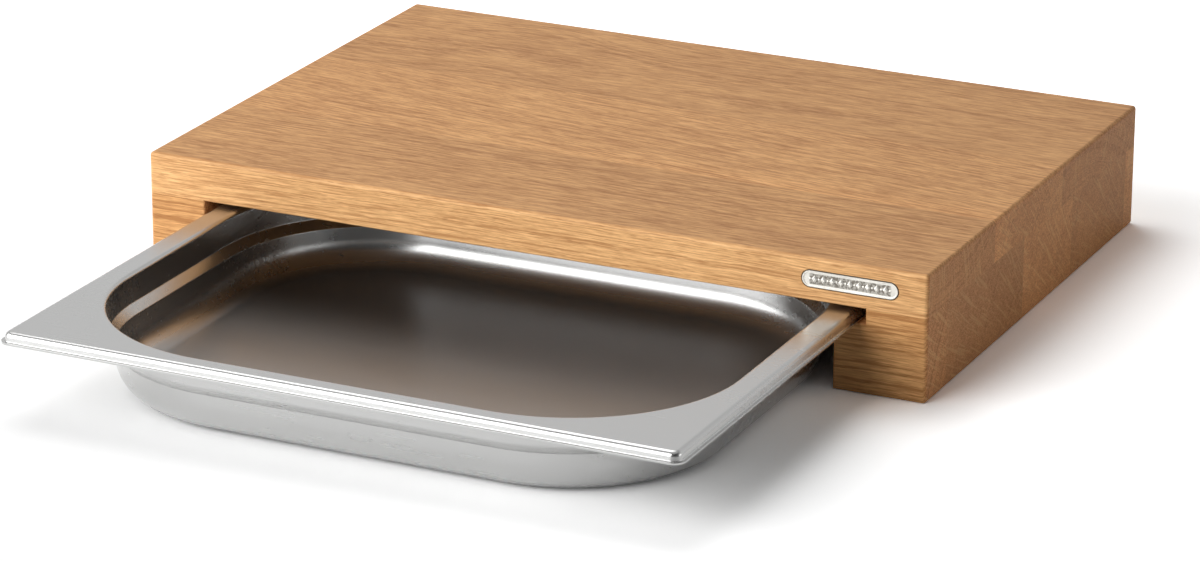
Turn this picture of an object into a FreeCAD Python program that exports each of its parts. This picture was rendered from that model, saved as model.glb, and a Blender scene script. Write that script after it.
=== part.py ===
"""Oak cutting board with a pressed steel drawer tray that slides in grooves under its top.

The board is a glued block: wide staves on top, a row of short blocks down each side, and a rail
across the back.  The tray hangs by its flange on the ledges of the two side rows.

Millimetres.  X runs along the front edge, Y from the front to the back, Z up.  The origin is
under the middle of the whole object as it stands, with the tray drawn out by tray_out.
"""
import FreeCAD
import Part
import math
import os
from FreeCAD import Vector

# ------------------------------------------------------------------ driving dimensions
# Tray: one pressed sheet, with a flange that ends in a turned-down skirt and a small lip
sheet = 0.8
lip_length = 325.0            # outside of the lip, along X
lip_depth = 265.0             # outside of the lip, along Y
lip_corner = 6.0              # plan radius of the lip's corners
lip_width = 1.5               # flat foot that stands out from the skirt
foot_bend = 0.5               # visible radius where the lip turns up into the skirt
skirt_slant = 0.6             # how far the skirt leans in on its way up
rim_bend = 2.6                # visible radius where the skirt turns into the flange
rim_height = 5.0              # underside of the lip to the top of the flange
flange_side = 12.5            # outside of the lip to the mouth, left and right
flange_end = 10.25            # outside of the lip to the mouth, front and back
mouth_corner = 80.0           # plan radius of the mouth's corners
mouth_bend = 2.0              # visible radius where the flange turns down into the wall
shoulder_depth = 13.6         # top of the flange to the top of the stacking shoulder
shoulder_drop = 4.2
shoulder_inset = 3.5
shoulder_bend = 1.2
wall_draft = 0.5              # how far the lower wall leans in on its way down
heel_run = 7.3                # width and height of the slant between the wall and the floor
heel_bend = 15.0              # visible radius where the wall turns into that slant
floor_bend = 9.0              # visible radius where the slant turns into the floor
tray_depth = 37.2             # top of the flange to the underside of the floor

# Clearances between the tray, the board and the table
flange_side_gap = 3.5         # lip to the side of its groove
basin_side_gap = 2.2          # basin wall to the side of the channel
lip_gap = 0.2                 # lip to the ledge that carries it
head_gap = 1.8                # flange to the underside of the top
table_gap = 1.0               # floor of the tray to the table
stop_gap = 1.0                # lip to the rear rail when the tray is shut
grip = 9.0                    # how far the shut tray stands out of the front
tray_out = 178.5              # how far the tray is drawn out from shut

# Board
top_thickness = 20.0
groove_wall = 29.0            # wood outside each groove
rail_thickness = 13.0
edge_round = 1.8
opening_chamfer = 0.5         # round the opening in the front
front_stave_width = 81.0
middle_stave_width = 87.0
front_block_width = 24.0
second_block_width = 95.0
third_block_width = 64.0

# Nameplate, let into the front edge of the top
plate_length = 45.6
plate_height = 7.8
plate_thickness = 1.7
plate_proud = 0.2             # how far it stands out of the wood
plate_border = 0.7            # width of its raised border
plate_border_height = 0.35
plate_side = 14.0             # board's right end to the plate
plate_below_top = 6.0         # board's top face to the plate
pocket_gap = 0.4              # plate to the side of its pocket

# ------------------------------------------------------------------ what follows from them
mouth_length = lip_length - 2 * flange_side
mouth_width = lip_depth - 2 * flange_end
basin_length = mouth_length - 2 * (mouth_bend - sheet)

flange_top = table_gap + tray_depth
ledge_height = flange_top - rim_height - lip_gap
side_height = flange_top + head_gap
board_height = side_height + top_thickness

groove_reach = lip_length / 2 + flange_side_gap
channel_reach = basin_length / 2 + basin_side_gap
board_reach = groove_reach + groove_wall
board_depth = lip_depth - grip + stop_gap + rail_thickness

board_back = (board_depth + grip + tray_out) / 2
board_front = board_back - board_depth
rail_front = board_back - rail_thickness
tray_middle = board_front - grip - tray_out + lip_depth / 2

UP = Vector(0, 0, 1)
ORIGIN = Vector(0, 0, 0)


def block(x_range, y_range, z_range):
    """Box between the given pairs of faces."""
    lows, highs = zip(x_range, y_range, z_range)
    size = [high - low for low, high in zip(lows, highs)]
    return Part.makeBox(*size, Vector(*lows))


# ------------------------------------------------------------------ tray
def bent_sheet(corners, bends):
    """Section of the sheet: a line through the corners, bent to a radius at each inner one.

    The corners lie on the visible side, from the outside of the tray inwards, with Z up from
    the top of the flange.
    """
    places = [Vector(x, 0, z) for x, z in corners]
    edges = []
    start = places[0]
    for before, corner, after, bend in zip(places, places[1:], places[2:], bends):
        back = (before - corner).normalize()
        ahead = (after - corner).normalize()
        half_angle = back.getAngle(ahead) / 2
        arc_start = corner + back * (bend / math.tan(half_angle))
        arc_end = corner + ahead * (bend / math.tan(half_angle))
        to_middle = (back + ahead).normalize() * (bend / math.sin(half_angle) - bend)
        edges.append(Part.LineSegment(start, arc_start).toShape())
        edges.append(Part.Arc(arc_start, corner + to_middle, arc_end).toShape())
        start = arc_end
    edges.append(Part.LineSegment(start, places[-1]).toShape())
    return Part.Wire(edges).makeOffset2D(sheet, 0, True, True)


def upright_edges(solid):
    """Straight edges that run along Z."""
    return [edge for edge in solid.Edges if abs(edge.tangentAt(edge.FirstParameter).z) > 0.99]


def rounded_plate(reach_x, reach_y, corner, z_low, z_high):
    """Flat plate about the origin, with rounded corners."""
    plate = block((-reach_x, reach_x), (-reach_y, reach_y), (z_low, z_high))
    return plate.makeFillet(corner, upright_edges(plate))


def ring(section, reach_x, reach_y, corner):
    """Carry a section round a rounded rectangle; its X = 0 follows the outline."""
    flat_x = reach_x - corner
    flat_y = reach_y - corner
    pieces = []
    for quarter, (reach, flat) in enumerate(((reach_x, flat_y), (reach_y, flat_x)) * 2):
        side = section.translated(Vector(reach, -flat, 0)).extrude(Vector(0, 2 * flat, 0))
        bend = section.translated(Vector(corner, 0, 0)).revolve(ORIGIN, UP, 90)
        bend.translate(Vector(reach - corner, flat, 0))
        for piece in (side, bend):
            piece.rotate(ORIGIN, UP, 90 * quarter)
            pieces.append(piece)
    return pieces


def make_tray():
    """Flange, skirt and lip, wall with its stacking shoulder, and floor, in one sheet."""
    skirt_foot = (-lip_width, sheet - rim_height)
    skirt_top = (-lip_width - skirt_slant, 0)
    rim_inset = lip_width + skirt_slant + rim_bend
    rim = bent_sheet([(0, sheet - rim_height), skirt_foot, skirt_top, (-rim_inset, 0)],
                     [foot_bend, rim_bend])

    wall_top = (-mouth_bend, 0)
    shoulder_top = (-mouth_bend, -shoulder_depth)
    shoulder_foot = (-mouth_bend - shoulder_inset, -shoulder_depth - shoulder_drop)
    floor_level = sheet - tray_depth
    heel_top = (shoulder_foot[0] - wall_draft, floor_level + heel_run)
    heel_foot = (heel_top[0] - heel_run, floor_level)
    floor_inset = floor_bend / 2 - heel_foot[0]
    wall = bent_sheet([(sheet, 0), wall_top, shoulder_top, shoulder_foot, heel_top, heel_foot,
                       (-floor_inset, floor_level)],
                      [mouth_bend, shoulder_bend, shoulder_bend, heel_bend, floor_bend])

    pieces = ring(rim, lip_length / 2, lip_depth / 2, lip_corner)
    pieces += ring(wall, mouth_length / 2, mouth_width / 2, mouth_corner)

    flange = rounded_plate(lip_length / 2 - rim_inset, lip_depth / 2 - rim_inset,
                           lip_corner - rim_inset, -sheet, 0)
    mouth = rounded_plate(mouth_length / 2 + sheet, mouth_width / 2 + sheet,
                          mouth_corner + sheet, -sheet, 0)
    floor = rounded_plate(mouth_length / 2 - floor_inset, mouth_width / 2 - floor_inset,
                          mouth_corner - floor_inset, -tray_depth, floor_level)
    pieces += [flange.cut(mouth), floor]

    tray = pieces[0].multiFuse(pieces[1:]).removeSplitter()
    return tray.translated(Vector(0, tray_middle, flange_top))


# ------------------------------------------------------------------ nameplate
def stadium(length, height, y_front, y_back):
    """Upright plate with half-round ends, centred where the nameplate goes."""
    centre_x = board_reach - plate_side - plate_length / 2
    centre_z = board_height - plate_below_top - plate_height / 2
    flat = (length - height) / 2
    bar = block((centre_x - flat, centre_x + flat), (y_front, y_back),
                (centre_z - height / 2, centre_z + height / 2))
    ends = [Part.makeCylinder(height / 2, y_back - y_front,
                              Vector(centre_x + side * flat, y_front, centre_z), Vector(0, 1, 0))
            for side in (-1, 1)]
    return bar.multiFuse(ends).removeSplitter()


def make_nameplate():
    """Cast plate with a raised border round a plain field."""
    front = board_front - plate_proud
    plate = stadium(plate_length, plate_height, front, front + plate_thickness)
    field = stadium(plate_length - 2 * plate_border, plate_height - 2 * plate_border,
                    front, front + plate_border_height)
    return plate.cut(field)


def make_plate_pocket():
    """What is milled out of the front edge for the nameplate."""
    return stadium(plate_length + 2 * pocket_gap, plate_height + 2 * pocket_gap,
                   board_front - edge_round, board_front - plate_proud + plate_thickness)


# ------------------------------------------------------------------ board
def make_opening():
    """What is milled out for the tray: a channel open below, with a groove down each side."""
    right = [(channel_reach, -edge_round), (channel_reach, ledge_height),
             (groove_reach, ledge_height), (groove_reach, side_height)]
    left = [(-x, z) for x, z in reversed(right)]
    places = [Vector(x, board_front, z) for x, z in right + left]
    outline = Part.makePolygon(places + places[:1])
    channel = Part.Face(outline).extrude(Vector(0, rail_front - board_front, 0))

    flared = outline.makeOffset2D(opening_chamfer, 2)
    inner = outline.translated(Vector(0, opening_chamfer, 0))
    return channel.fuse(Part.makeLoft([flared, inner], True, True))


def make_glued_block():
    """The whole wooden block, rounded outside, with what is milled out of it."""
    wood = block((-board_reach, board_reach), (board_front, board_back), (0, board_height))
    wood = wood.makeFillet(edge_round, wood.Edges)
    return wood.cut(make_opening()).cut(make_plate_pocket())


def joints_from_front(widths, back):
    """Pairs of faces for pieces glued front to back; the last one fills up to the back."""
    faces = [board_front]
    for width in widths:
        faces.append(faces[-1] + width)
    faces.append(back)
    return list(zip(faces, faces[1:]))


def make_board_pieces():
    """Cut the block into the staves, side blocks and rail that it is glued from."""
    wood = make_glued_block()
    full_width = (-board_reach, board_reach)
    top_layer = (side_height, board_height)
    side_layer = (0, side_height)
    pieces = {}

    def piece_within(*ranges):
        return wood.common(block(*ranges)).removeSplitter()

    staves = joints_from_front((front_stave_width, middle_stave_width), board_back)
    for name, y_range in zip(("front", "middle", "rear"), staves):
        pieces["top_stave_" + name] = piece_within(full_width, y_range, top_layer)

    block_widths = (front_block_width, second_block_width, third_block_width)
    for number, y_range in enumerate(joints_from_front(block_widths, rail_front), start=1):
        for side, x_range in (("left", (-board_reach, 0)), ("right", (0, board_reach))):
            name = f"{side}_side_block_{number}"
            pieces[name] = piece_within(x_range, y_range, side_layer)

    pieces["rear_rail"] = piece_within(full_width, (rail_front, board_back), side_layer)
    return pieces


# ------------------------------------------------------------------ one file for each piece
nodes = make_board_pieces()
nodes["nameplate"] = make_nameplate()
nodes["tray"] = make_tray()

os.makedirs("parts", exist_ok=True)
for name, shape in nodes.items():
    shape.exportStep(f"parts/{name}.step")
    print(f"{name:20s} {len(shape.Solids)} solid  {shape.Volume / 1000:9.2f} cm3")
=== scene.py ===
"""Oak cutting board with a pressed steel drawer tray, dressed and set in a plain studio.

Metres.  X runs along the front edge of the board, Y from the front to the back, Z up.
"""
import bpy
import math
from mathutils import Matrix, Vector


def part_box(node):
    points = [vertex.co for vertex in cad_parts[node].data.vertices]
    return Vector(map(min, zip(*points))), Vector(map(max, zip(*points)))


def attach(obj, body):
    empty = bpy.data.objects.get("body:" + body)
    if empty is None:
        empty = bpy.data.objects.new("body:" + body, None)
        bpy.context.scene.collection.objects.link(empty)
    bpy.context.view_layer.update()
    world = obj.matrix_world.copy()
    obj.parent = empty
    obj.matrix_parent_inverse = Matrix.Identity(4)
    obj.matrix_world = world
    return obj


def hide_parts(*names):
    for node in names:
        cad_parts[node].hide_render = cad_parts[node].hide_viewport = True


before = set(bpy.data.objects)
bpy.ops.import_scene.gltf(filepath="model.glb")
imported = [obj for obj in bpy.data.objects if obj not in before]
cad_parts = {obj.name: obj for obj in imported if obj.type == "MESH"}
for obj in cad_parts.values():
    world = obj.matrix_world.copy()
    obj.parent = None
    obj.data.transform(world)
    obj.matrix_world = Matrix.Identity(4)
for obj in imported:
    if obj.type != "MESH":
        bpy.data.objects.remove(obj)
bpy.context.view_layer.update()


# ---------------------------------------------------------------- oak staves, side blocks and rail
# Solid oak, planed, glued up and oiled.  The grain of every piece runs along X, so the ends of the
# board show end grain: growth rings cut across, with the wood rays as pale lines.
MM = 0.001
light_wood = (0.78, 0.425, 0.175, 1)
dark_wood = (0.42, 0.19, 0.066, 1)
# painted light: the front and back faces are tinted paler, for the stronger light that falls on the
# front
front_face_painted_light = (1.24, 1.35, 1.47, 1)
end_grain_tint = (1.0, 0.88, 0.82, 1)
end_grain_ray_tint = (0.95, 1.02, 1.05, 1)
pore_tint = (0.55, 0.45, 0.36, 1)

# waves in a millimetre, along, across and up the piece; two numbers are along and both others
fibre_waves = (0.07, 0.7, 1.6)
fleck_waves = (0.03, 0.45, 0.9)
band_waves = (0.012, 0.16)
patch_waves = (0.013, 0.035)
pore_waves = (0.13, 1.5)
long_wander_waves = (0.007, 0.022)
short_wander_waves = (0.045, 0.16)
short_wander = 0.8                  # millimetres
seed_stride = 17.3                  # millimetres along the log from one seed to the next

# how strongly each pattern shows in the wood
late_wood_contrast = 0.1
fleck_contrast = 0.4
band_contrast = 0.4
patch_contrast = 0.5
pore_darkness = 0.55
ray_darkness = 0.12
end_ray_paleness = 0.42
middle_darkness = 0.47

oiled_roughness = 0.42
fibre_roughness = 0.16
pore_roughness = 0.2
grain_relief = 0.1 * MM
pale_strip_width = 22 * MM
pale_strip_start = -80 * MM         # where along the board it begins to show, and where it is full
pale_strip_full = 100 * MM


def add_node(tree, kind, feeds=None, **settings):
    """New node with its settings, and its inputs set or linked by name or number."""
    node = tree.nodes.new(kind)
    for name, value in settings.items():
        setattr(node, name, value)
    for socket, feed in (feeds or {}).items():
        if isinstance(feed, bpy.types.NodeSocket):
            tree.links.new(feed, node.inputs[socket])
        else:
            node.inputs[socket].default_value = feed
    return node


def maths(tree, operation, *feeds, clamp=False):
    """Output of one Math node."""
    return add_node(tree, "ShaderNodeMath", dict(enumerate(feeds)),
                    operation=operation, use_clamp=clamp).outputs[0]


def vector_maths(tree, operation, *feeds):
    """Output of one Vector Math node."""
    return add_node(tree, "ShaderNodeVectorMath", dict(enumerate(feeds)),
                    operation=operation).outputs[0]


def scaled(tree, vector, size):
    """Vector or colour times one number."""
    return add_node(tree, "ShaderNodeVectorMath", {0: vector, "Scale": size},
                    operation="SCALE").outputs[0]


def ramp_range(tree, value, low, high, to_low=0.0, to_high=1.0):
    """Value carried smoothly from one range to another."""
    feeds = {"Value": value, "From Min": low, "From Max": high, "To Min": to_low, "To Max": to_high}
    return add_node(tree, "ShaderNodeMapRange", feeds,
                    interpolation_type="SMOOTHSTEP").outputs["Result"]


def tint(tree, share, colour, other, blend="MIX"):
    """Output of one colour Mix node."""
    return add_node(tree, "ShaderNodeMix", {0: share, 6: colour, 7: other},
                    data_type="RGBA", blend_type=blend).outputs[2]


def stretched(tree, place, along, across, up=None):
    """Place scaled for a pattern that is longer along the grain than across it."""
    return vector_maths(tree, "MULTIPLY", place, (along, across, up or across))


def cloud(tree, place, detail=2.0, roughness=0.5, output="Factor"):
    """Output of a Noise Texture that reads the place as it is."""
    node = add_node(tree, "ShaderNodeTexNoise",
                    {"Vector": place, "Scale": 1.0, "Detail": detail, "Roughness": roughness})
    return node.outputs[0 if output == "Factor" else 1]


def wander(tree, place, waves, reach):
    """How far the fibres stray from straight, in millimetres."""
    noise = cloud(tree, stretched(tree, place, *waves), 2.0, output="Color")
    return scaled(tree, vector_maths(tree, "SUBTRACT", noise, (0.5, 0.5, 0.5)), reach)


def bowed(tree, along, across, given):
    """Across, less a hump in the rings at one place along the piece, which draws a flame there."""
    from_bow = maths(tree, "DIVIDE", maths(tree, "SUBTRACT", along, given["Bow Centre"]),
                     given["Bow Length"])
    bow = maths(tree, "DIVIDE", given["Bow Height"],
                maths(tree, "MULTIPLY_ADD", from_bow, from_bow, 1.0))
    return maths(tree, "SUBTRACT", across, bow)


def growth_rings(tree, radius, given):
    """Shares of open early wood and of dense late wood, at a distance from the pith."""
    uneven = add_node(tree, "ShaderNodeTexNoise",
                      {"W": maths(tree, "ADD", maths(tree, "MULTIPLY", radius, 0.12),
                                  given["Seed"]), "Scale": 1.0, "Detail": 1.0},
                      noise_dimensions="1D").outputs[0]
    rings = maths(tree, "ADD", maths(tree, "DIVIDE", radius, given["Ring Width"]),
                  maths(tree, "MULTIPLY", uneven, 5.0))
    ring_share = maths(tree, "FRACT", rings)
    early = maths(tree, "MULTIPLY", ramp_range(tree, ring_share, 0.0, 0.10),
                  ramp_range(tree, ring_share, 0.62, 0.16))
    return early, ramp_range(tree, ring_share, 0.45, 1.0)


def wood_pores(tree, place, early):
    """Short open pores, nearly all of them in the early wood."""
    cells = add_node(tree, "ShaderNodeTexVoronoi",
                     {"Vector": stretched(tree, place, *pore_waves), "Scale": 1.0},
                     feature="F1").outputs["Distance"]
    return maths(tree, "MULTIPLY", ramp_range(tree, cells, 0.30, 0.12),
                 maths(tree, "MULTIPLY_ADD", early, 0.8, 0.2))


def wood_rays(tree, along, radius, turn, given):
    """Thin ribbons that run out from the pith."""
    place = add_node(tree, "ShaderNodeCombineXYZ",
                     {0: maths(tree, "MULTIPLY", along, 0.11),
                      1: maths(tree, "MULTIPLY", radius, 0.05),
                      2: maths(tree, "MULTIPLY", turn, given["Ray Count"])}).outputs[0]
    rays = ramp_range(tree, cloud(tree, place, 1.0, 0.5), 0.57, 0.63)
    return maths(tree, "MULTIPLY", rays, given["Rays"])


def make_oak_grain():
    """Node group that cuts oak out of a log: its place input is in millimetres from the pith."""
    tree = bpy.data.node_groups.new("oak grain", "ShaderNodeTree")
    for name, kind, value in (
            ("Place", "Vector", (0, 0, 0)), ("Normal", "Vector", (0, 0, 1)),
            ("Ring Width", "Float", 2.6), ("Waviness", "Float", 5.0),
            ("Bow Centre", "Float", 0.0), ("Bow Length", "Float", 80.0),
            ("Bow Height", "Float", 0.0), ("Rays", "Float", 1.0), ("Ray Count", "Float", 130.0),
            ("Ring Contrast", "Float", 0.26), ("Fibre Contrast", "Float", 2.2),
            ("Light Wood", "Color", light_wood), ("Dark Wood", "Color", dark_wood),
            ("End Tone", "Float", 0.97), ("Edge Tint", "Color", front_face_painted_light),
            ("Tone", "Float", 1.0), ("Seed", "Float", 0.0)):
        socket = tree.interface.new_socket(name, in_out="INPUT", socket_type="NodeSocket" + kind)
        socket.default_value = value
    for name, kind in (("Colour", "Color"), ("Roughness", "Float"), ("Height", "Float")):
        tree.interface.new_socket(name, in_out="OUTPUT", socket_type="NodeSocket" + kind)
    given = add_node(tree, "NodeGroupInput").outputs

    def from_seed(place):
        """Place moved along the log, so that each piece is cut from a stretch of its own."""
        start = add_node(tree, "ShaderNodeCombineXYZ", {0: given["Seed"]}).outputs[0]
        return vector_maths(tree, "MULTIPLY_ADD", start, (seed_stride, 0, 0), place)

    # fibres that wander, and growth rings round the pith
    straight = from_seed(given["Place"])
    stray = vector_maths(tree, "ADD",
                         wander(tree, straight, long_wander_waves, given["Waviness"]),
                         wander(tree, straight, short_wander_waves, short_wander))
    wandered = vector_maths(tree, "ADD", given["Place"], stray)
    along, across, up = add_node(tree, "ShaderNodeSeparateXYZ", {0: wandered}).outputs
    across = bowed(tree, along, across, given)
    radius = maths(tree, "SQRT", maths(tree, "MULTIPLY_ADD", across, across,
                                       maths(tree, "MULTIPLY", up, up)))
    turn = maths(tree, "ARCTANGENT", maths(tree, "DIVIDE", across, up))
    early, late = growth_rings(tree, radius, given)

    # fibres, flecks, slow changes of colour, pores and rays
    wavy = from_seed(wandered)
    fibres = cloud(tree, stretched(tree, wavy, *fibre_waves), 3.0, 0.7)
    flecks = cloud(tree, stretched(tree, wavy, *fleck_waves), 2.0, 0.6)
    bands = cloud(tree, stretched(tree, wavy, *band_waves), 2.0)
    patches = cloud(tree, stretched(tree, straight, *patch_waves), 1.0)
    pores = wood_pores(tree, wavy, early)
    rays = wood_rays(tree, along, radius, turn, given)

    # long grain, darker in the early wood and where the fibres are
    side, front, _ = add_node(tree, "ShaderNodeSeparateXYZ", {0: given["Normal"]}).outputs
    end = ramp_range(tree, maths(tree, "ABSOLUTE", side), 0.45, 0.9)
    long_grain = maths(tree, "SUBTRACT", 1.0, end)
    broken = maths(tree, "MULTIPLY", early, ramp_range(tree, flecks, 0.38, 0.58, 0.35, 1.0))
    darkness = maths(tree, "MULTIPLY", broken, given["Ring Contrast"])
    for pattern, contrast in ((late, late_wood_contrast), (fibres, given["Fibre Contrast"]),
                              (flecks, fleck_contrast), (bands, band_contrast),
                              (patches, patch_contrast)):
        darkness = maths(tree, "MULTIPLY_ADD", maths(tree, "SUBTRACT", pattern, 0.5), contrast,
                         darkness)
    darkness = maths(tree, "ADD", darkness, middle_darkness, clamp=True)
    colour = tint(tree, darkness, given["Light Wood"], given["Dark Wood"])
    pore_colour = tint(tree, 1.0, given["Dark Wood"], pore_tint, "MULTIPLY")
    colour = tint(tree, maths(tree, "MULTIPLY", pores, pore_darkness), colour, pore_colour)
    ray_share = maths(tree, "MULTIPLY", rays, maths(tree, "MULTIPLY", long_grain, ray_darkness))
    colour = tint(tree, ray_share, colour, given["Dark Wood"])

    # end grain drinks more oil, so it is darker, and its rays stand out pale
    end_colour = tint(tree, 1.0, scaled(tree, colour, given["End Tone"]), end_grain_tint,
                      "MULTIPLY")
    colour = tint(tree, end, colour, end_colour)
    # painted light: faces that look to the front or back are made paler, for the light that falls
    # on the front face
    lit_face_colour = tint(tree, 1.0, colour, given["Edge Tint"], "MULTIPLY")
    edge = ramp_range(tree, maths(tree, "ABSOLUTE", front), 0.45, 0.9)
    colour = tint(tree, edge, colour, lit_face_colour)
    pale_ray = tint(tree, 1.0, given["Light Wood"], end_grain_ray_tint, "MULTIPLY")
    end_rays = maths(tree, "MULTIPLY", maths(tree, "MULTIPLY", rays, end), end_ray_paleness)
    colour = tint(tree, end_rays, colour, pale_ray)
    colour = scaled(tree, colour, given["Tone"])

    roughness = maths(tree, "MULTIPLY_ADD", fibres, fibre_roughness, oiled_roughness)
    roughness = maths(tree, "MULTIPLY_ADD", pores, pore_roughness, roughness)
    height = maths(tree, "SUBTRACT", maths(tree, "MULTIPLY", fibres, 0.35), pores)
    add_node(tree, "NodeGroupOutput",
             {"Colour": colour, "Roughness": roughness, "Height": height})
    return tree


oak_grain = make_oak_grain()


def oak(node_name, pith, seed, tilt=(0, 0), tone=1.0, pale_strip=0.0, **cut):
    """Give a CAD node its own cut of oak.

    Pith is its y and z in millimetres and tilt is in degrees.  Pale strip is how much lighter the
    wood is along the node's front edge, towards its right end.  Cut holds other inputs of the
    grain, by name.
    """
    material = bpy.data.materials.new("oak_" + node_name)
    material.use_nodes = True
    tree = material.node_tree
    shader = tree.nodes["Principled BSDF"]
    shader.inputs["Specular IOR Level"].default_value = 0.2
    where = add_node(tree, "ShaderNodeTexCoord").outputs
    from_pith = add_node(tree, "ShaderNodeMapping",
                         {"Vector": where["Object"], "Location": (0, -pith[0], -pith[1]),
                          "Rotation": (0, math.radians(tilt[0]), math.radians(tilt[1])),
                          "Scale": (1 / MM, 1 / MM, 1 / MM)}).outputs[0]
    grain = add_node(tree, "ShaderNodeGroup", node_tree=oak_grain)
    tree.links.new(from_pith, grain.inputs["Place"])
    tree.links.new(where["Normal"], grain.inputs["Normal"])
    grain.inputs["Seed"].default_value = seed
    for name, value in cut.items():
        grain.inputs[name.replace("_", " ").title()].default_value = value
    along, across, _ = add_node(tree, "ShaderNodeSeparateXYZ", {0: where["Object"]}).outputs
    front_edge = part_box(node_name)[0].y
    strip = maths(tree, "MULTIPLY", ramp_range(tree, along, pale_strip_start, pale_strip_full),
                  ramp_range(tree, across, front_edge + pale_strip_width, front_edge))
    tree.links.new(maths(tree, "MULTIPLY_ADD", strip, pale_strip, tone), grain.inputs["Tone"])
    bump = add_node(tree, "ShaderNodeBump", {"Height": grain.outputs["Height"],
                                             "Strength": 0.35, "Distance": grain_relief})
    tree.links.new(grain.outputs["Colour"], shader.inputs["Base Color"])
    tree.links.new(grain.outputs["Roughness"], shader.inputs["Roughness"])
    tree.links.new(bump.outputs[0], shader.inputs["Normal"])
    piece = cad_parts[node_name]
    piece.data.materials.clear()
    piece.data.materials.append(material)


oak("top_stave_front", pith=(-25, 170), seed=1.0, waviness=7.0, ring_width=2.0, ring_contrast=0.4,
    fibre_contrast=2.6, edge_tint=(1.31, 1.43, 1.56, 1), tone=0.91)
oak("top_stave_middle", pith=(170, -20), seed=2.0, tilt=(0, 6), ring_width=2.2,
    ring_contrast=0.35, fibre_contrast=2.6, tone=1.0, pale_strip=0.16)
oak("top_stave_rear", pith=(150, -50), seed=3.0, ring_contrast=0.35, bow_centre=-112.0,
    bow_length=50.0, bow_height=28.0, tone=0.93)
for side, seed in (("left", 10.0), ("right", 20.0)):
    oak(side + "_side_block_1", pith=(100, -60), seed=seed + 1, ring_width=1.8, ring_contrast=0.8,
        fibre_contrast=3.0, edge_tint=(1.02, 1.02, 0.99, 1), tone=0.96)
    oak(side + "_side_block_2", pith=(150, -60), seed=seed + 2, tone=0.85)
    oak(side + "_side_block_3", pith=(200, -60), seed=seed + 3, tone=1.04)
    oak(side + "_side_block_4", pith=(270, -50), seed=seed + 4, tone=0.9)
oak("rear_rail", pith=(222, -80), seed=5.0, tone=1.1)


# ---------------------------------------------------------------- steel tray
# A half-size pan, deep drawn from one sheet of stainless steel and left satin: flange with a
# turned-down skirt and lip, stacking shoulder, and a wide bend into the floor.
sheet = 0.8 * MM
lip_corner = 6.0 * MM
lip_width = 1.5 * MM
foot_bend = 0.5 * MM
skirt_slant = 0.6 * MM
rim_bend = 2.6 * MM
rim_height = 5.0 * MM
flange_side = 12.5 * MM
flange_end = 10.25 * MM
mouth_corner = 80.0 * MM
mouth_bend = 2.0 * MM
shoulder_depth = 13.6 * MM
shoulder_drop = 4.2 * MM
shoulder_inset = 3.5 * MM
shoulder_bend = 1.2 * MM
wall_draft = 0.5 * MM
heel_run = 7.3 * MM
heel_bend = 15.0 * MM
floor_bend = 9.0 * MM

bend_steps = 10
lip_corner_steps = 16
mouth_corner_steps = 48
weld_distance = 0.005 * MM

steel = (0.484, 0.484, 0.48, 1)
paler_steel = (0.496, 0.496, 0.49, 1)
# painted shade: the pan floor's darker colour stands in for the shade it lies in under the board
floor_painted_shade_steel = (0.37, 0.37, 0.37, 1)
rolling_waves = (0.03 / MM, 0.4 / MM)
clouding_waves = (0.015 / MM, 0.02 / MM)
wall_roughness = 0.27
rolling_roughness = 0.02
clouding_roughness = 0.03
floor_dulling = 0.07                # roughness that the floor has over the walls
floor_shade_top = 5.0 * MM
floor_shade_full = 2.2 * MM


def add_inputs(tree, inputs):
    """Named inputs for a Geometry Nodes tree, from {name: (kind, value)}; gives their sockets."""
    for name, (kind, value) in inputs.items():
        socket = tree.interface.new_socket(name, in_out="INPUT", socket_type="NodeSocket" + kind)
        if value is not None:
            socket.default_value = value
    tree.interface.new_socket("Geometry", in_out="OUTPUT", socket_type="NodeSocketGeometry")
    return add_node(tree, "NodeGroupInput").outputs


def pick(tree, kind, choices):
    """Field that gives each point its own choice, by the point's number."""
    node = add_node(tree, "GeometryNodeIndexSwitch", data_type=kind)
    while len(node.index_switch_items) < len(choices):
        node.index_switch_items.new()
    tree.links.new(add_node(tree, "GeometryNodeInputIndex").outputs[0], node.inputs[0])
    for number, choice in enumerate(choices):
        if isinstance(choice, bpy.types.NodeSocket):
            tree.links.new(choice, node.inputs[number + 1])
        else:
            node.inputs[number + 1].default_value = choice
    return node.outputs[0]


def bent_section(tree, corners, bends, steps):
    """Section of a bent sheet: a line through the corners, with a radius at each inner one."""
    points = add_node(tree, "GeometryNodePoints",
                      {"Count": len(corners), "Position": pick(tree, "VECTOR", corners)})
    line = add_node(tree, "GeometryNodePointsToCurves", {"Points": points.outputs[0]})
    radii = pick(tree, "FLOAT", [0.0] + bends + [0.0])
    return add_node(tree, "GeometryNodeFilletCurve",
                    {"Curve": line.outputs[0], "Count": steps, "Radius": radii},
                    mode="POLY").outputs[0]


def rounded_outline(tree, length, width, corner, steps):
    """Closed rounded rectangle about the origin."""
    outline = add_node(tree, "GeometryNodeCurvePrimitiveQuadrilateral",
                       {"Width": length, "Height": width}, mode="RECTANGLE")
    rounded = add_node(tree, "GeometryNodeFilletCurve",
                       {"Curve": outline.outputs[0], "Count": steps, "Radius": corner,
                        "Limit Radius": True}, mode="POLY")
    return add_node(tree, "GeometryNodeSetCurveNormal", {"Curve": rounded.outputs[0]},
                    mode="Z_UP").outputs[0]


def sweep(tree, section, outline):
    """Surface that a section leaves as it follows an outline."""
    surface = add_node(tree, "GeometryNodeCurveToMesh",
                       {"Curve": outline, "Profile Curve": section})
    return add_node(tree, "GeometryNodeFlipFaces", {"Mesh": surface.outputs[0]}).outputs[0]


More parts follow.
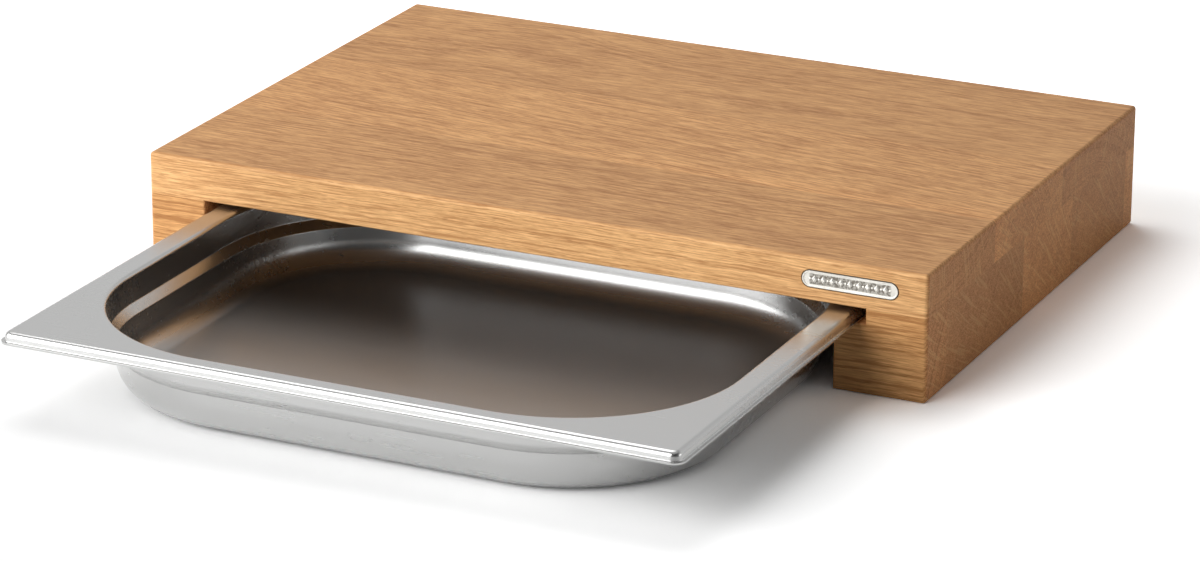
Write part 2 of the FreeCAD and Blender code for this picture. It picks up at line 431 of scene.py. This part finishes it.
def fill_between(tree, surface, low, high):
    """Flat face across the open edges of a surface whose height is between two levels."""
    neighbours = add_node(tree, "GeometryNodeInputMeshEdgeNeighbors").outputs[0]
    is_open = add_node(tree, "FunctionNodeCompare", {2: neighbours, 3: 1},
                       data_type="INT", operation="EQUAL").outputs[0]
    height = add_node(tree, "ShaderNodeSeparateXYZ",
                      {0: add_node(tree, "GeometryNodeInputPosition").outputs[0]}).outputs[2]
    above = maths(tree, "GREATER_THAN", height, low)
    below = maths(tree, "LESS_THAN", height, high)
    wanted = maths(tree, "MULTIPLY", is_open, maths(tree, "MULTIPLY", above, below))
    loops = add_node(tree, "GeometryNodeMeshToCurve", {"Mesh": surface, "Selection": wanted})
    face = add_node(tree, "GeometryNodeFillCurve", {"Curve": loops.outputs[0]}, mode="NGONS")
    return face.outputs[0]


def finish_tree(tree, parts, place, material, turn=(0, 0, 0)):
    """Join the parts, weld them, put them in place and give them their material."""
    joined = add_node(tree, "GeometryNodeJoinGeometry")
    for part in parts:
        tree.links.new(part, joined.inputs[0])
    welded = add_node(tree, "GeometryNodeMergeByDistance",
                      {"Geometry": joined.outputs[0], "Distance": weld_distance})
    placed = add_node(tree, "GeometryNodeTransform",
                      {"Geometry": welded.outputs[0], "Translation": place, "Rotation": turn})
    real = add_node(tree, "GeometryNodeRealizeInstances", {0: placed.outputs[0]})
    smooth = add_node(tree, "GeometryNodeSetShadeSmooth", {"Geometry": real.outputs[0]})
    dressed = add_node(tree, "GeometryNodeSetMaterial",
                       {"Geometry": smooth.outputs[0], "Material": material})
    add_node(tree, "NodeGroupOutput", {0: dressed.outputs[0]})


def plain_mesh(source, sharp_angle):
    """Plain object from a source's evaluated modifiers, with its sharp edges marked."""
    bpy.context.view_layer.update()
    evaluated = source.evaluated_get(bpy.context.evaluated_depsgraph_get())
    mesh = bpy.data.meshes.new_from_object(evaluated)
    mesh.set_sharp_from_angle(angle=math.radians(sharp_angle))
    piece = bpy.data.objects.new(source.name + "_plain", mesh)
    bpy.context.scene.collection.objects.link(piece)
    bpy.data.objects.remove(source)
    return piece


def grown(tree, name, sizes):
    """Empty object that carries a Geometry Nodes tree, with its named inputs set."""
    source = bpy.data.objects.new(name, bpy.data.meshes.new(name))
    bpy.context.scene.collection.objects.link(source)
    modifier = source.modifiers.new("grow", "NODES")
    modifier.node_group = tree
    for item in tree.interface.items_tree:
        if item.in_out == "INPUT" and item.name in sizes:
            modifier[item.identifier] = sizes[item.name]
    return source


def make_tray_tree():
    """Rim carried round the lip, wall carried round the mouth, and the flats between them."""
    tree = bpy.data.node_groups.new("pressed tray", "GeometryNodeTree")
    vector = ("Vector", (0.0, 0.0, 0.0))
    length = ("Float", 0.1)
    given = add_inputs(tree, {
        "Lip Length": length, "Lip Depth": length, "Lip Corner": length,
        "Mouth Length": length, "Mouth Width": length, "Mouth Corner": length,
        "Lip Edge": vector, "Skirt Foot": vector, "Skirt Top": vector, "Rim Inside": vector,
        "Mouth Outside": vector, "Wall Top": vector, "Shoulder Top": vector,
        "Shoulder Foot": vector, "Heel Top": vector, "Heel Foot": vector,
        "Floor Edge": vector,
        "Foot Bend": length, "Rim Bend": length, "Mouth Bend": length,
        "Shoulder Bend": length, "Heel Bend": length, "Floor Bend": length,
        "Floor Level": length,
        "Place": vector, "Steel": ("Material", None)})
    rim = bent_section(tree, [given["Lip Edge"], given["Skirt Foot"], given["Skirt Top"],
                              given["Rim Inside"]],
                       [given["Foot Bend"], given["Rim Bend"]], bend_steps)
    wall = bent_section(tree, [given["Mouth Outside"], given["Wall Top"], given["Shoulder Top"],
                               given["Shoulder Foot"], given["Heel Top"], given["Heel Foot"],
                               given["Floor Edge"]],
                        [given["Mouth Bend"], given["Shoulder Bend"], given["Shoulder Bend"],
                         given["Heel Bend"], given["Floor Bend"]], bend_steps)
    lip_line = rounded_outline(tree, given["Lip Length"], given["Lip Depth"],
                               given["Lip Corner"], lip_corner_steps)
    mouth_line = rounded_outline(tree, given["Mouth Length"], given["Mouth Width"],
                                 given["Mouth Corner"], mouth_corner_steps)
    swept = add_node(tree, "GeometryNodeJoinGeometry")
    for surface in (sweep(tree, rim, lip_line), sweep(tree, wall, mouth_line)):
        tree.links.new(surface, swept.inputs[0])
    flange = fill_between(tree, swept.outputs[0], low=-0.1 * MM, high=1 * MM)
    floor = fill_between(tree, swept.outputs[0], low=-1.0, high=-20 * MM)
    to_floor = add_node(tree, "ShaderNodeCombineXYZ", {2: given["Floor Level"]}).outputs[0]
    floor = add_node(tree, "GeometryNodeTransform",
                     {"Geometry": floor, "Translation": to_floor}).outputs[0]
    finish_tree(tree, [swept.outputs[0], flange, floor], given["Place"], given["Steel"])
    return tree


def make_steel():
    """Satin stainless steel with faint rolling lines and clouding; the floor is rougher, with
    painted shade.
    """
    material = bpy.data.materials.new("satin_stainless")
    material.use_nodes = True
    tree = material.node_tree
    shader = tree.nodes["Principled BSDF"]
    shader.inputs["Metallic"].default_value = 1.0
    where = add_node(tree, "ShaderNodeTexCoord").outputs["Object"]
    lines = cloud(tree, stretched(tree, where, *rolling_waves), 1.0)
    clouding = cloud(tree, stretched(tree, where, *clouding_waves), 3.0)
    height = add_node(tree, "ShaderNodeSeparateXYZ", {0: where}).outputs[2]
    on_floor = ramp_range(tree, height, floor_shade_top, floor_shade_full)
    roughness = maths(tree, "MULTIPLY_ADD", on_floor, floor_dulling, wall_roughness)
    for pattern, share in ((lines, rolling_roughness), (clouding, clouding_roughness)):
        roughness = maths(tree, "MULTIPLY_ADD", maths(tree, "SUBTRACT", pattern, 0.5), share,
                          roughness)
    tree.links.new(roughness, shader.inputs["Roughness"])
    colour = tint(tree, clouding, steel, paler_steel)
    # painted shade: the floor of the pan is coloured darker
    colour = tint(tree, on_floor, colour, floor_painted_shade_steel)
    tree.links.new(colour, shader.inputs["Base Color"])
    return material


tray_low, tray_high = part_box("tray")
lip_length, lip_depth, tray_rise = tray_high - tray_low
skirt_foot = lip_width
skirt_top = skirt_foot + skirt_slant
skirt_depth = rim_height - sheet
shoulder_foot = mouth_bend + shoulder_inset
heel_top = shoulder_foot + wall_draft
heel_foot = heel_top + heel_run
floor_drop = tray_rise - sheet
tray = grown(make_tray_tree(), "tray_pan", {
    "Lip Length": lip_length, "Lip Depth": lip_depth, "Lip Corner": lip_corner,
    "Mouth Length": lip_length - 2 * flange_side, "Mouth Width": lip_depth - 2 * flange_end,
    "Mouth Corner": mouth_corner,
    "Lip Edge": (0, skirt_depth, 0), "Skirt Foot": (-skirt_foot, skirt_depth, 0),
    "Skirt Top": (-skirt_top, 0, 0), "Rim Inside": (-skirt_top - rim_bend, 0, 0),
    "Mouth Outside": (sheet, 0, 0), "Wall Top": (-mouth_bend, 0, 0),
    "Shoulder Top": (-mouth_bend, shoulder_depth, 0),
    "Shoulder Foot": (-shoulder_foot, shoulder_depth + shoulder_drop, 0),
    "Heel Top": (-heel_top, floor_drop - heel_run, 0), "Heel Foot": (-heel_foot, floor_drop, 0),
    "Floor Edge": (-heel_foot - floor_bend / 2, floor_drop, 0),
    "Foot Bend": foot_bend, "Rim Bend": rim_bend, "Mouth Bend": mouth_bend,
    "Shoulder Bend": shoulder_bend, "Heel Bend": heel_bend, "Floor Bend": floor_bend,
    "Floor Level": -floor_drop,
    "Place": (0, (tray_low.y + tray_high.y) / 2, tray_high.z), "Steel": make_steel()})
thicken = tray.modifiers.new("sheet", "SOLIDIFY")
thicken.thickness = sheet
thicken.offset = -1.0
thicken.use_even_offset = True
tray = plain_mesh(tray, sharp_angle=40)
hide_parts("tray")
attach(tray, "tray")


# ---------------------------------------------------------------- nameplate
# Small stadium-shaped plate cast in white metal, with a raised border and a plain row of lozenges
# and beads, blackened in its hollows.  It is glued into a shallow pocket in the front stave.
plate_border = 0.7 * MM
edge_bend = 0.2 * MM
border_bend = 0.12 * MM
border_slant = 0.15 * MM
field_drop = 0.35 * MM
field_inset = 0.4 * MM              # inside of the border to where the flat field starts
lozenge_count = 9
lozenge_pitch = 4.2 * MM
lozenge_size = (1.5 * MM, 1.9 * MM, 0.56 * MM)
bead_size = (0.55 * MM, 0.55 * MM, 0.3 * MM)
plate_bend_steps = 4
plate_end_steps = 20

bare_metal = (0.93, 0.90, 0.83, 1)
# dark of the patina in the hollows, and of the painted shadow round the plate's edge
patina_and_shade_black = (0.11, 0.09, 0.065, 1)
gap_shade_width = 0.3 * MM
gap_shade_full = 0.1 * MM
row_reach = 19.6 * MM               # half length of the blackened row
row_reach_full = 18.8 * MM
row_half_height = 2.7 * MM
row_half_height_full = 2.2 * MM
speckle_waves = 0.8 / MM
patina_and_shade_strength = 0.9
bare_roughness = 0.38
black_roughness = 0.25              # roughness that the patina and painted edge shade add
bare_metallic = 0.5
black_metallic = -0.45


def raised_row(tree, motif, count, pitch, size, drop):
    """Copies of a motif along the middle of the plate, as instances."""
    start = add_node(tree, "ShaderNodeCombineXYZ",
                     {0: maths(tree, "MULTIPLY", pitch,
                               maths(tree, "MULTIPLY_ADD", count, -0.5, 0.5)), 2: drop}).outputs[0]
    step = add_node(tree, "ShaderNodeCombineXYZ", {0: pitch}).outputs[0]
    line = add_node(tree, "GeometryNodeMeshLine",
                    {"Count": count, "Start Location": start, "Offset": step}, mode="OFFSET")
    return add_node(tree, "GeometryNodeInstanceOnPoints",
                    {"Points": line.outputs[0], "Instance": motif, "Scale": size}).outputs[0]


def make_plate_tree():
    """Edge carried round the plate, its face and back, and the row of lozenges and beads."""
    tree = bpy.data.node_groups.new("nameplate", "GeometryNodeTree")
    vector = ("Vector", (0.0, 0.0, 0.0))
    length = ("Float", 0.001)
    given = add_inputs(tree, {
        "Length": length, "Height": length, "Back Edge": vector, "Face Edge": vector,
        "Border Edge": vector, "Field Edge": vector, "Field": vector, "Edge Bend": length,
        "Border Bend": length, "Field Level": length, "Back Level": length,
        "Lozenges": ("Int", 9), "Beads": ("Int", 10), "Pitch": length,
        "Lozenge Size": vector, "Bead Size": vector, "Place": vector, "Turn": vector,
        "Metal": ("Material", None)})
    edge = bent_section(tree, [given["Back Edge"], given["Face Edge"], given["Border Edge"],
                               given["Field Edge"], given["Field"]],
                        [given["Edge Bend"], given["Border Bend"], given["Border Bend"]],
                        plate_bend_steps)
    half_height = maths(tree, "MULTIPLY", given["Height"], 0.4999)
    outline = rounded_outline(tree, given["Length"], given["Height"], half_height,
                              plate_end_steps)
    rim = sweep(tree, edge, outline)
    parts = [rim]
    near = 0.02 * MM
    for level, flipped in (("Field Level", False), ("Back Level", True)):
        height = given[level]
        flat = fill_between(tree, rim, maths(tree, "SUBTRACT", height, near),
                            maths(tree, "ADD", height, near))
        if flipped:
            flat = add_node(tree, "GeometryNodeFlipFaces", {"Mesh": flat}).outputs[0]
        rise = add_node(tree, "ShaderNodeCombineXYZ", {2: height}).outputs[0]
        parts.append(add_node(tree, "GeometryNodeTransform",
                              {"Geometry": flat, "Translation": rise}).outputs[0])
    lozenge = add_node(tree, "GeometryNodeMeshCone",
                       {"Vertices": 4, "Radius Top": 0.45, "Radius Bottom": 1.0, "Depth": 1.0})
    bead = add_node(tree, "GeometryNodeMeshUVSphere", {"Segments": 10, "Rings": 6, "Radius": 1.0})
    parts.append(raised_row(tree, lozenge.outputs[0], given["Lozenges"], given["Pitch"],
                            given["Lozenge Size"], given["Field Level"]))
    parts.append(raised_row(tree, bead.outputs[0], given["Beads"], given["Pitch"],
                            given["Bead Size"], given["Field Level"]))
    finish_tree(tree, parts, given["Place"], given["Metal"], given["Turn"])
    return tree


def make_white_metal(low, high):
    """Pale cast metal, with a painted shadow line round its edge and blackened patina in the row's
    hollows.
    """
    material = bpy.data.materials.new("white_metal_patina_and_painted_shade")
    material.use_nodes = True
    tree = material.node_tree
    shader = tree.nodes["Principled BSDF"]
    middle = (low + high) / 2
    half_height = (high.z - low.z) / 2
    where = add_node(tree, "ShaderNodeTexCoord").outputs["Object"]
    along, depth, rise = add_node(tree, "ShaderNodeSeparateXYZ", {0: where}).outputs
    along = maths(tree, "ABSOLUTE", maths(tree, "SUBTRACT", along, middle.x))
    rise = maths(tree, "ABSOLUTE", maths(tree, "SUBTRACT", rise, middle.z))
    past_end = maths(tree, "MAXIMUM", 0.0,
                     maths(tree, "SUBTRACT", along, (high.x - low.x) / 2 - half_height))
    from_spine = maths(tree, "SQRT", maths(tree, "MULTIPLY_ADD", past_end, past_end,
                                           maths(tree, "MULTIPLY", rise, rise)))
    # painted shadow: a dark line round the plate's edge, for the shadow in the gap between plate
    # and wood
    edge = ramp_range(tree, from_spine, half_height - gap_shade_width,
                      half_height - gap_shade_full)
    row = maths(tree, "MULTIPLY", ramp_range(tree, along, row_reach, row_reach_full),
                ramp_range(tree, rise, row_half_height, row_half_height_full))
    grains = add_node(tree, "ShaderNodeTexNoise",
                      {"Vector": where, "Scale": speckle_waves, "Detail": 2.0}).outputs[0]
    hollow = ramp_range(tree, depth, low.y + 0.2 * MM, low.y + field_drop)
    speckle = maths(tree, "MULTIPLY", ramp_range(tree, grains, 0.4, 0.6, 0.6, 1.0), row)
    black = maths(tree, "MAXIMUM", maths(tree, "MULTIPLY", hollow, speckle), edge)
    black = maths(tree, "MULTIPLY", black, patina_and_shade_strength)
    colour = tint(tree, black, bare_metal, patina_and_shade_black)
    tree.links.new(colour, shader.inputs["Base Color"])
    roughness = maths(tree, "MULTIPLY_ADD", black, black_roughness, bare_roughness)
    metallic = maths(tree, "MULTIPLY_ADD", black, black_metallic, bare_metallic)
    tree.links.new(roughness, shader.inputs["Roughness"])
    tree.links.new(metallic, shader.inputs["Metallic"])
    return material


plate_low, plate_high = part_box("nameplate")
plate_length, plate_thick, plate_height = plate_high - plate_low
nameplate = grown(make_plate_tree(), "maker_plate", {
    "Length": plate_length, "Height": plate_height, "Back Edge": (0, plate_thick, 0),
    "Face Edge": (0, 0, 0), "Border Edge": (-plate_border, 0, 0),
    "Field Edge": (-plate_border - border_slant, field_drop, 0),
    "Field": (-plate_border - field_inset, field_drop, 0), "Edge Bend": edge_bend,
    "Border Bend": border_bend, "Field Level": -field_drop, "Back Level": -plate_thick,
    "Lozenges": lozenge_count, "Beads": lozenge_count + 1, "Pitch": lozenge_pitch,
    "Lozenge Size": lozenge_size, "Bead Size": bead_size,
    "Place": ((plate_low.x + plate_high.x) / 2, plate_low.y, (plate_low.z + plate_high.z) / 2),
    "Turn": (math.pi / 2, 0, 0), "Metal": make_white_metal(plate_low, plate_high)})
nameplate = plain_mesh(nameplate, sharp_angle=30)
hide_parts("nameplate")
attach(nameplate, "board")


# ---------------------------------------------------------------- studio
# White paper table, a broad soft lamp at the front left, a smaller one overhead, a faint one low at
# the right, and a pale room.
def white_to_camera(tree):
    """1 for rays from the camera, or from gloss and glass, and 0 for light that falls on things."""
    path = add_node(tree, "ShaderNodeLightPath").outputs
    mirrored = maths(tree, "MAXIMUM", path["Is Glossy Ray"], path["Is Transmission Ray"])
    return maths(tree, "MAXIMUM", path["Is Camera Ray"], mirrored), path["Is Camera Ray"]


def make_floor():
    """Wide floor, white where lit, with its shadows; painted light makes it paler to the right and
    far off.
    """
    reach = 9.0
    mesh = bpy.data.meshes.new("floor")
    mesh.from_pydata([(-reach, -reach, 0), (reach, -reach, 0), (reach, reach, 0),
                      (-reach, reach, 0)], [], [(0, 1, 2, 3)])
    floor = bpy.data.objects.new("floor", mesh)
    bpy.context.scene.collection.objects.link(floor)
    material = bpy.data.materials.new("floor_white")
    material.use_nodes = True
    tree = material.node_tree
    tree.nodes.remove(tree.nodes["Principled BSDF"])
    seen, camera_ray = white_to_camera(tree)
    where = add_node(tree, "ShaderNodeTexCoord").outputs["Object"]
    right, rearward, _ = add_node(tree, "ShaderNodeSeparateXYZ", {0: where}).outputs
    # painted light: the floor seen by the camera is made paler to the right and far off, lightening
    # its shadows there
    painted_light_on_floor = ramp_range(tree, maths(tree, "ADD", right, rearward), -0.45, 0.55,
                       to_low=-0.22, to_high=0.82)
    distance = add_node(tree, "ShaderNodeVectorMath", {0: where}, operation="LENGTH").outputs[1]
    far_off = ramp_range(tree, distance, 0.32, 0.9, to_low=-0.3, to_high=1.9)
    painted_light_on_floor = maths(tree, "MAXIMUM", painted_light_on_floor, far_off)
    paper = maths(tree, "MULTIPLY_ADD", seen, 0.40, 0.78)
    paper = maths(tree, "MULTIPLY_ADD", camera_ray, painted_light_on_floor, paper)
    shader = add_node(tree, "ShaderNodeBsdfDiffuse", {"Color": paper})
    tree.links.new(shader.outputs[0], tree.nodes["Material Output"].inputs["Surface"])
    mesh.materials.append(material)


def make_lamp(name, place, aim, size, power):
    """Oblong soft lamp turned to a point."""
    data = bpy.data.lights.new(name, "AREA")
    data.shape = "RECTANGLE"
    data.size, data.size_y = size
    data.energy = power
    lamp = bpy.data.objects.new(name, data)
    lamp.location = place
    lamp.rotation_euler = (Vector(aim) - Vector(place)).to_track_quat("-Z", "Y").to_euler()
    bpy.context.scene.collection.objects.link(lamp)


def make_room():
    """Pale surroundings; the camera sees them a plain white."""
    world = bpy.data.worlds.new("room")
    world.use_nodes = True
    tree = world.node_tree
    background = tree.nodes["Background"]
    background.inputs["Color"].default_value = (1, 1, 1, 1)
    seen, camera_ray = white_to_camera(tree)
    way = add_node(tree, "ShaderNodeTexCoord").outputs["Generated"]
    _, depth, height = add_node(tree, "ShaderNodeSeparateXYZ", {0: way}).outputs
    ceiling = ramp_range(tree, height, 0.4, 0.9, to_low=1.0, to_high=0.5)
    walls = ramp_range(tree, depth, -0.2, 0.5, to_low=0.05, to_high=0.87)
    above = ramp_range(tree, height, 0.7, 0.95, to_low=0.0, to_high=0.7)
    mirrored = maths(tree, "MAXIMUM", maths(tree, "MULTIPLY", ceiling, walls), above)
    soft = 0.11
    level = maths(tree, "MULTIPLY_ADD", seen, maths(tree, "SUBTRACT", mirrored, soft), soft)
    level = maths(tree, "MAXIMUM", level, camera_ray)
    tree.links.new(level, background.inputs["Strength"])
    bpy.context.scene.world = world


make_floor()
make_room()
make_lamp("front", place=(-1.20, -1.35, 0.85), aim=(0, -0.05, 0.04), size=(2.8, 1.5), power=65)
make_lamp("overhead", place=(-0.6, 0.5, 1.72), aim=(0, 0.05, 0.04), size=(1.2, 1.2), power=12.5)
make_lamp("right", place=(1.8, 0.15, 0.4), aim=(0.2, 0.1, 0.03), size=(1.0, 0.5), power=3.5)

camera_turn, camera_lift, camera_roll = (math.radians(a) for a in (25.2568, 19.8461, 0.2561))
back = Vector((math.sin(camera_turn) * math.cos(camera_lift),
               -math.cos(camera_turn) * math.cos(camera_lift), math.sin(camera_lift)))
level = Vector((math.cos(camera_turn), math.sin(camera_turn), 0))
upward = back.cross(level)
right = level * math.cos(camera_roll) + upward * math.sin(camera_roll)
up = upward * math.cos(camera_roll) - level * math.sin(camera_roll)
camera_data = bpy.data.cameras.new("camera")
camera_data.lens = 145.88
camera_data.sensor_width = 36.0
camera_place = (0.912407, -1.895944, 0.773179)
camera = bpy.data.objects.new("camera", camera_data)
camera.matrix_world = (Matrix.Translation(camera_place)
                       @ Matrix((right, up, back)).transposed().to_4x4())
bpy.context.scene.collection.objects.link(camera)
bpy.context.scene.camera = camera
bpy.context.scene.view_settings.view_transform = "Standard"
